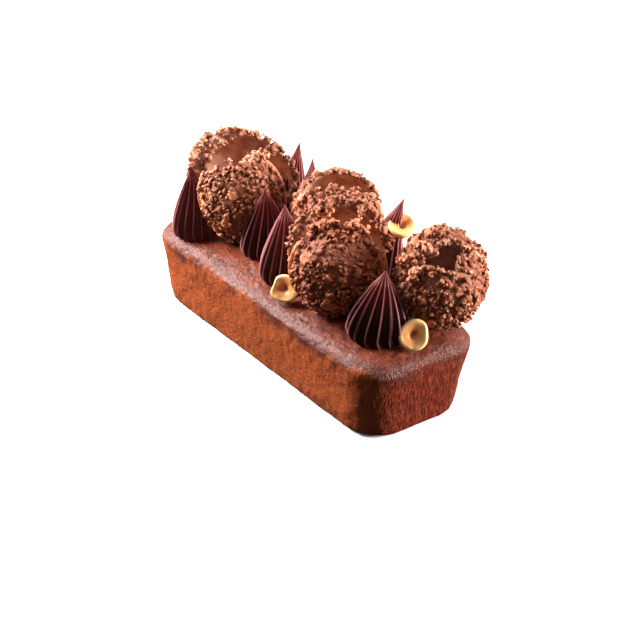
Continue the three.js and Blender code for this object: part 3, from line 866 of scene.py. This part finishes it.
def pipe_peak(peak):
    foot, tip, radius = np.array(peak["foot"]), np.array(peak["tip"]), peak["radius"]
    base = float(crust_height(foot[0], foot[1])) - PEAK_SINK
    rise, spread = smooth_path(PEAK_OUTLINE, PEAK_MESH_STEP).T
    rise[0], rise[-1] = 0, 1
    sides = FLUTES * 8
    angle = np.arange(sides) * 2 * pi / sides
    across_flute = np.abs(((angle * FLUTES / (2 * pi) + 0.5) % 1) - 0.5) * 2
    crest = (1 - across_flute) ** RIDGE_SHARPNESS
    rings = []
    for height, share in zip(rise, spread):
        bend = height**TIP_BEND
        x = foot[0] + (tip[0] - foot[0]) * bend
        y = foot[1] + (tip[1] - foot[1]) * bend
        depth = FLUTE_DEPTH * min(1, 0.5 + height * 5) * (1.15 if height < 0.8 else 0.9)
        reach = radius * share * (1 - depth * (1 - crest))
        curl = radians(peak["turn"]) + TWIST * height + FOOT_CURL * max(0, 1 - height / 0.16) ** 2
        rings.append(np.stack([x + reach * np.cos(angle + curl), y + reach * np.sin(angle + curl),
                               np.full(sides, base + height * (tip[2] - base))], axis=1))
    vertices = np.array(rings).reshape(-1, 3)
    count = len(rings)
    made = skin_mesh(peak["name"].replace("ganache", "piped"), vertices, ring_faces(count, sides))
    paint(made, "crest", np.tile(crest, count))
    paint(made, "height", np.repeat(rise, sides))
    paint(made, "painted_sheen", np.full(len(vertices), peak["painted_sheen"]))
    return made


VALLEY_FOOT = (0.022, 0.0026, 0.0028, 1)
VALLEY_TIP_GLOW = (0.17, 0.018, 0.010, 1)
VALLEY_PAINTED_SHEEN = (0.13, 0.027, 0.026, 1)
RIDGE_BLOOM_AND_HIGHLIGHT = (0.30, 0.115, 0.115, 1)


def ganache_finish():
    """Set dark ganache: satin, near black in the valleys, with a painted glow of light shining through
    towards the tip and a painted sheen on some peaks; the thin pale mauve on the ridges is partly bloom and
    partly a painted highlight.
    """
    finish = Finish("dark ganache")
    # the ridges' thin pale mauve: partly bloom, partly a painted highlight where they catch the light
    ridge = finish.range(finish.painted("crest"), 0.62, 1.0)
    # valleys lighter and redder towards the tip: painted glow of light shining through the thin tip
    tip = finish.range(finish.painted("height"), 0.3, 1.0)
    valley = finish.blend(tip, VALLEY_FOOT, VALLEY_TIP_GLOW)
    # painted sheen that lightens the valleys of some peaks
    valley = finish.blend(finish.painted("painted_sheen"), valley, VALLEY_PAINTED_SHEEN)
    colour = finish.blend(ridge, valley, RIDGE_BLOOM_AND_HIGHLIGHT)
    finish.surface("Base Color", colour)
    finish.surface("Roughness", 0.42)
    finish.surface("Specular IOR Level", 0.25)
    finish.surface("Specular Tint", (1, 0.6, 0.58, 1))
    finish.surface("Normal", finish.bump(finish.grain(1.2, 3), 0.05, 0.5))
    return finish.material


ganache = ganache_finish()
for peak in PEAKS:
    piped = pipe_peak(peak)
    piped.data.materials.append(ganache)
    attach(piped, "root")
    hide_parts(peak["name"])

# ---- Hazelnut halves ----
# Roasted, skinned hazelnuts cut in half: a pale yellow cut face with a darker hollow in the middle, and a
# round back. They are pressed lightly into what they lie on.
# facing and raised are the compass direction and the height angle of the cut face, in degrees; dent is the
# direction where its edge is pinched in, and how far, as a share of the radius
NUTS = [
    dict(name="hazelnut_half_1", centre=(20.6, -31.4, 54), facing=-58, raised=22, radius=7.5, seed=3,
         dent=(205, 0.22)),
    dict(name="hazelnut_half_2", centre=(94, -6.2, 54.2), facing=-42, raised=30, radius=7.6, seed=5,
         dent=(60, 0.05)),
    dict(name="hazelnut_half_3", centre=(37.6, 31.6, 81.2), facing=-34, raised=66, radius=7.5, seed=8,
         dent=(0, 0.08)),
]
# [share of the radius, height from the cut face], from the hollow in the middle round to the back
NUT_OUTLINE = [
    [0, -2.4], [0.2, -2.0], [0.38, -0.95], [0.54, -0.5], [0.74, -0.15], [0.88, 0], [0.97, -0.45], [1, -1.4],
    [0.9, -3.6], [0.6, -5.9], [0.25, -6.7], [0, -6.9],
]
NUT_MESH_STEP = 0.4
NUT_SIDES = 64
DENT_HALF_WIDTH = 46


def halve_nut(nut):
    path = smooth_path([[share * nut["radius"], height] for share, height in NUT_OUTLINE], NUT_MESH_STEP)
    angle = -np.arange(NUT_SIDES) * 2 * pi / NUT_SIDES
    phase = nut["seed"] * 1.7
    dent_angle, dent_depth = nut["dent"]
    dent = hump(np.degrees(angle), dent_angle, DENT_HALF_WIDTH) ** 2 * dent_depth
    uneven = 1 + 0.05 * np.cos(2 * angle + phase) + 0.03 * np.cos(3 * angle) - dent
    rings = np.stack([
        path[:, :1] * uneven * np.cos(angle),
        path[:, :1] * uneven * np.sin(angle),
        np.repeat(path[:, 1:], NUT_SIDES, axis=1),
    ], axis=-1)
    rings[..., 2] += value_noise(rings, 2.4, nut["seed"]) * 0.22
    vertices = rings.reshape(-1, 3)
    facing, raised = radians(nut["facing"]), radians(nut["raised"])
    look = Vector((cos(facing) * cos(raised), sin(facing) * cos(raised), sin(raised)))
    turned = np.array(Vector((0, 0, 1)).rotation_difference(look).to_matrix())
    vertices = vertices @ turned.T + nut["centre"]
    faces = ring_faces(len(path), NUT_SIDES)
    made = skin_mesh(nut["name"].replace("hazelnut", "cut_hazelnut"), vertices, faces)
    paint(made, "from_middle", np.repeat(path[:, 0] / nut["radius"], NUT_SIDES))
    paint(made, "depth", np.repeat(-path[:, 1], NUT_SIDES))
    return made


NUT_MIDDLE = (0.34, 0.08, 0.011, 1)
NUT_RING = (0.74, 0.27, 0.062, 1)
NUT_GRAIN = (0.74, 0.38, 0.16, 1)
NUT_RIM = (0.82, 0.50, 0.20, 1)
NUT_BACK = (0.62, 0.27, 0.08, 1)


def nut_finish():
    """Roasted hazelnut: cream cut face, tan ring, toasted hollow and back."""
    finish = Finish("roasted hazelnut")
    middle = finish.painted("from_middle")
    face = finish.blend(finish.range(middle, 0.12, 0.42), NUT_MIDDLE, NUT_RING)
    face = finish.blend(finish.range(finish.grain(1.8, 3), 0.4, 0.7, 0, 0.5), face, NUT_GRAIN)
    face = finish.blend(finish.range(middle, 0.5, 0.9), face, NUT_RIM)
    colour = finish.blend(finish.range(finish.painted("depth"), 2.8, 5.0), face, NUT_BACK)
    finish.surface("Base Color", colour)
    finish.surface("Roughness", 0.42)
    finish.surface("Subsurface Weight", 0.2)
    finish.surface("Subsurface Radius", (0.004, 0.002, 0.001))
    finish.surface("Normal", finish.bump(finish.grain(0.7, 3), 0.15, 0.5))
    return finish.material


hazelnut = nut_finish()
for nut in NUTS:
    halved = halve_nut(nut)
    halved.data.materials.append(hazelnut)
    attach(halved, "root")
    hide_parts(nut["name"])

# ---- Table, light and camera ----
# A plain white table and the photograph's view. The cake is lit by a soft light from the left, a low one from
# the right and a weak one in front, in a room that is bright behind the table and dark on the picture's side.
FLOOR_HALF = 3000
floor = FLOOR_HALF * np.array([[-1, -1, 0], [1, -1, 0], [1, 1, 0], [-1, 1, 0]])
table = skin_mesh("table", floor, np.array([[0, 1, 2, 3]]))
white = Finish("white table")
white.surface("Base Color", (0.9, 0.9, 0.9, 1))
white.surface("Roughness", 0.7)
table.data.materials.append(white.material)
table.visible_diffuse = False
table.visible_glossy = False

BRIGHT_SIDE = (-0.57, 0.45, 0.68)
FADE_FROM = -0.25
FADE_TO = 0.85
ROOM_DARK = 0.035
ROOM_BRIGHT = 0.95
world = bpy.data.worlds.new("studio")
world.use_nodes = True
room_nodes = world.node_tree
direction = room_nodes.nodes.new("ShaderNodeTexCoord")
towards = room_nodes.nodes.new("ShaderNodeVectorMath")
towards.operation = "DOT_PRODUCT"
towards.inputs[1].default_value = BRIGHT_SIDE
fade = room_nodes.nodes.new("ShaderNodeMapRange")
for socket, number in zip(RANGE_SOCKETS, (FADE_FROM, FADE_TO, ROOM_DARK, ROOM_BRIGHT)):
    fade.inputs[socket].default_value = number
room_nodes.links.new(direction.outputs["Generated"], towards.inputs[0])
room_nodes.links.new(towards.outputs["Value"], fade.inputs["Value"])
room_nodes.links.new(fade.outputs["Result"], room_nodes.nodes["Background"].inputs["Strength"])
room_nodes.nodes["Background"].inputs["Color"].default_value = (1, 1, 1, 1)
bpy.context.scene.world = world


LIT_MIDDLE = Vector((0, 0, 0.05))


def soft_light(name, azimuth, elevation, distance, size, power):
    """A square soft light aimed at the cake, from a compass direction and height angle in degrees."""
    lamp = bpy.data.lights.new(name, "AREA")
    lamp.size = size
    lamp.energy = power
    made = bpy.data.objects.new(name, lamp)
    azimuth, elevation = radians(azimuth), radians(elevation)
    way = Vector((cos(azimuth) * cos(elevation), sin(azimuth) * cos(elevation), sin(elevation)))
    made.location = way * distance + LIT_MIDDLE
    made.rotation_euler = way.to_track_quat("Z", "Y").to_euler()
    bpy.context.scene.collection.objects.link(made)


soft_light("left light", azimuth=-148, elevation=31, distance=0.52, size=0.26, power=13.5)
soft_light("right light", azimuth=45, elevation=13, distance=1.1, size=0.35, power=44)
soft_light("front light", azimuth=-46, elevation=24, distance=1.1, size=0.7, power=0.8)

SCREEN_RIGHT = Vector((0.6062314, 0.79432489, 0.03913383))
SCREEN_UP = Vector((-0.41281119, 0.27223718, 0.86917998))
CAMERA_PLACE = Vector((0.541962, -0.423059, 0.405959))
LENS = 81.5
camera_data = bpy.data.cameras.new("camera")
camera_data.sensor_width = 36
camera_data.lens = LENS
camera_data.clip_start = 0.01
camera = bpy.data.objects.new("camera", camera_data)
turned = Matrix((SCREEN_RIGHT, SCREEN_UP, SCREEN_RIGHT.cross(SCREEN_UP))).transposed()
camera.matrix_world = Matrix.Translation(CAMERA_PLACE) @ turned.to_4x4()
bpy.context.scene.collection.objects.link(camera)
bpy.context.scene.camera = camera
bpy.context.scene.view_settings.view_transform = "Standard"
